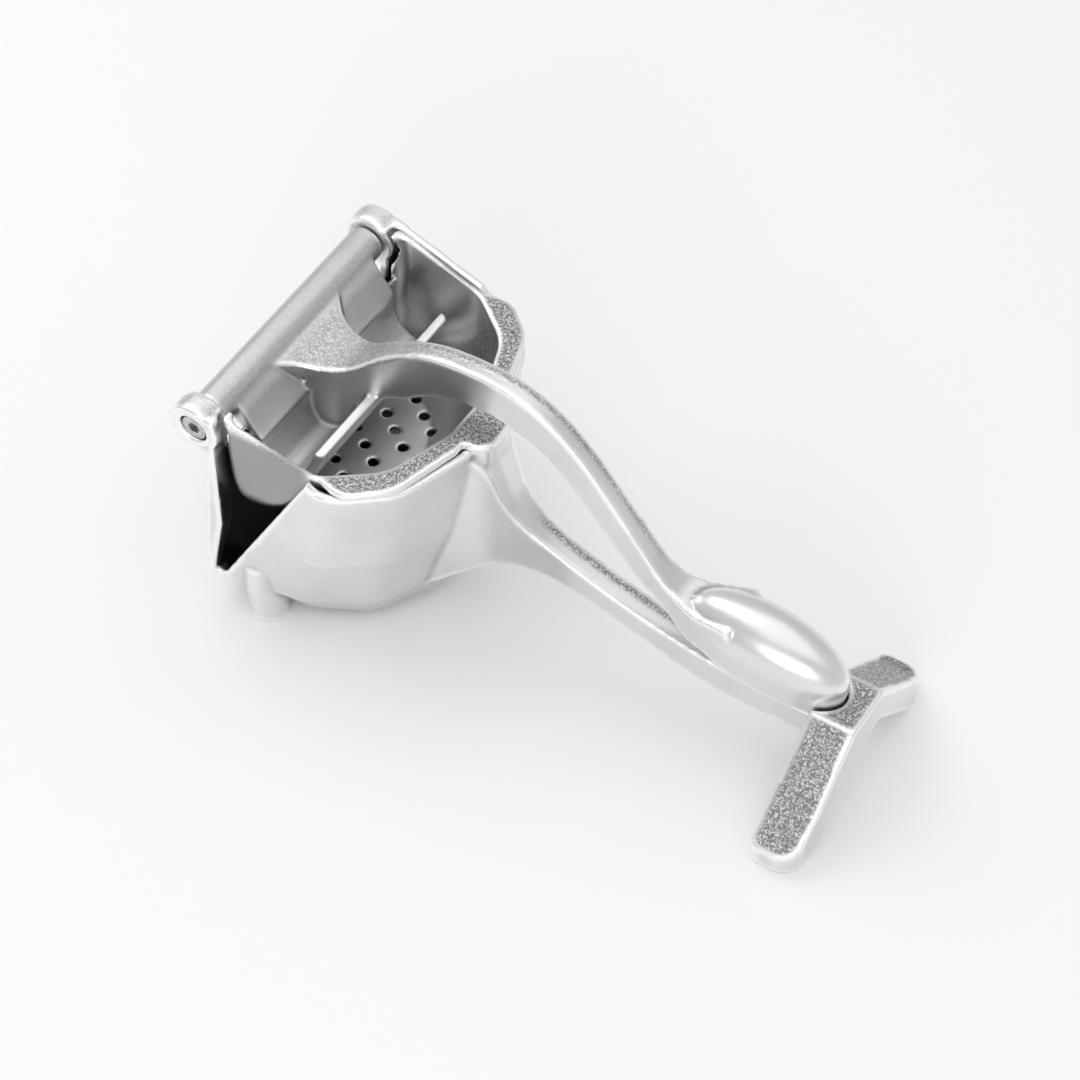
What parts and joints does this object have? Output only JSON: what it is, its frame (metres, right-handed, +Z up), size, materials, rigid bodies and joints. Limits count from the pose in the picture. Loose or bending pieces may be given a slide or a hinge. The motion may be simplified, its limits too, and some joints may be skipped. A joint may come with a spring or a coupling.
{
  "type": "hand citrus press",
  "caption": "Cast-metal hand citrus press: a pouring cup on pegs and a T-shaped foot, a lift-out strainer basket and a hinged lever whose curved presser squeezes the fruit in it.",
  "frame": {"origin": "on the table, under the middle of the press's overall length and width", "axes": "+X from the hinge along the handle to the T-shaped foot, +Y along the hinge axis towards the closed side of the cup, +Z up"},
  "size_m": [0.2346, 0.108, 0.1201],
  "materials": {
    "body_casting": "satin polished sand casting with bare as-cast faces",
    "basket_casting": "satin polished sand casting with bare as-cast faces",
    "lever_casting": "satin polished sand casting with bare as-cast faces",
    "hinge_steel": "plain turned steel"
  },
  "bodies": {
    "stand": {"press_body": "body_casting", "hinge_bolt": "hinge_steel", "hinge_nut": "hinge_steel"},
    "basket": {"strainer_basket": "basket_casting"},
    "lever": {"press_lever": "lever_casting"}
  },
  "joints": [
    {"name": "lever_hinge", "type": "hinge", "parent": "stand", "child": "lever", "pos_m": [-0.10625, 0, 0.096], "axis": [0, -1, 0], "range_deg": [0, 110]},
    {"name": "basket_lift_out", "type": "hinge", "parent": "stand", "child": "basket", "pos_m": [-0.10625, 0, 0.096], "axis": [0, -1, 0], "range_deg": [0, 40]}
  ],
  "couplings": [
    {"joint": "basket_lift_out", "follows": "lever_hinge", "ratio": 0.36}
  ]
}
